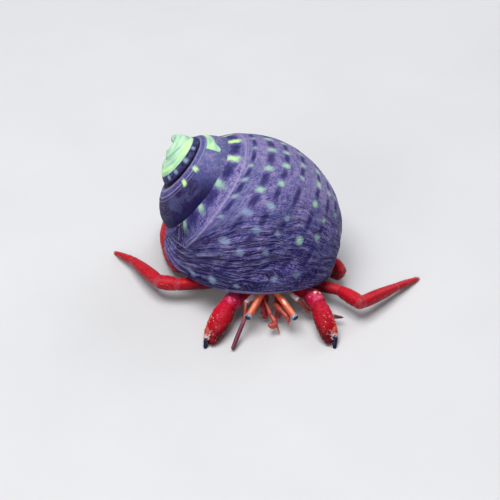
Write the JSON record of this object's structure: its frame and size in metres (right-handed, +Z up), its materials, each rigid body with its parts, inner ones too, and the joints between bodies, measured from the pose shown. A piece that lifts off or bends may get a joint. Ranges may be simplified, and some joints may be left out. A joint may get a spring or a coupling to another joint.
{
  "type": "hermit crab",
  "caption": "Scarlet reef hermit crab standing in a rounded purple and mint banded top shell, claws forward and walking legs spread.",
  "frame": {"origin": "middle of the bottom of the whole animal's box, on the floor", "axes": "+X to the crab's left, the way its legs spread widest; +Y to its back; +Z up from the floor"},
  "size_m": [0.0446, 0.0318, 0.0202],
  "materials": {
    "shell": "dull, beaded ridges, purple with mint squares and a worn mint spire",
    "scarlet_shell_plate": "smooth wet-looking scarlet",
    "scarlet_leg": "smooth scarlet, paler towards the tips",
    "scarlet_claw": "scarlet with pale knobs and dark tips",
    "orange_eyestalk": "smooth bright orange",
    "dark_cornea": "polished, blue-grey with a dark middle",
    "purple_lash": "fine dark purple-red rings",
    "soft_abdomen": "soft skin"
  },
  "bodies": {
    "root": {"shell": "shell", "carapace": "scarlet_shell_plate", "thorax": "scarlet_shell_plate", "abdomen": "soft_abdomen", "leg2_right_merus": "scarlet_leg", "leg2_right_carpus": "scarlet_leg", "leg2_right_propodus": "scarlet_leg", "leg2_right_dactyl": "scarlet_leg", "leg3_right_merus": "scarlet_leg", "leg3_right_carpus": "scarlet_leg", "leg3_right_propodus": "scarlet_leg", "leg3_right_dactyl": "scarlet_leg", "leg4_right": "scarlet_leg", "cheliped_right_merus": "scarlet_claw", "cheliped_right_carpus": "scarlet_claw", "cheliped_right_palm": "scarlet_claw", "cheliped_right_finger": "scarlet_claw", "eyestalk_right": "orange_eyestalk", "cornea_right": "dark_cornea", "antennule_right": "orange_eyestalk", "antennule_right_lash": "purple_lash", "antenna_right": "scarlet_leg", "antenna_right_lash": "purple_lash", "maxilliped_right": "scarlet_leg", "leg2_left_merus": "scarlet_leg", "leg2_left_carpus": "scarlet_leg", "leg2_left_propodus": "scarlet_leg", "leg2_left_dactyl": "scarlet_leg", "leg3_left_merus": "scarlet_leg", "leg3_left_carpus": "scarlet_leg", "leg3_left_propodus": "scarlet_leg", "leg3_left_dactyl": "scarlet_leg", "leg4_left": "scarlet_leg", "cheliped_left_merus": "scarlet_claw", "cheliped_left_carpus": "scarlet_claw", "cheliped_left_palm": "scarlet_claw", "cheliped_left_finger": "scarlet_claw", "eyestalk_left": "orange_eyestalk", "cornea_left": "dark_cornea", "antennule_left": "orange_eyestalk", "antennule_left_lash": "purple_lash", "antenna_left": "scarlet_leg", "antenna_left_lash": "purple_lash", "maxilliped_left": "scarlet_leg"}
  },
  "joints": []
}
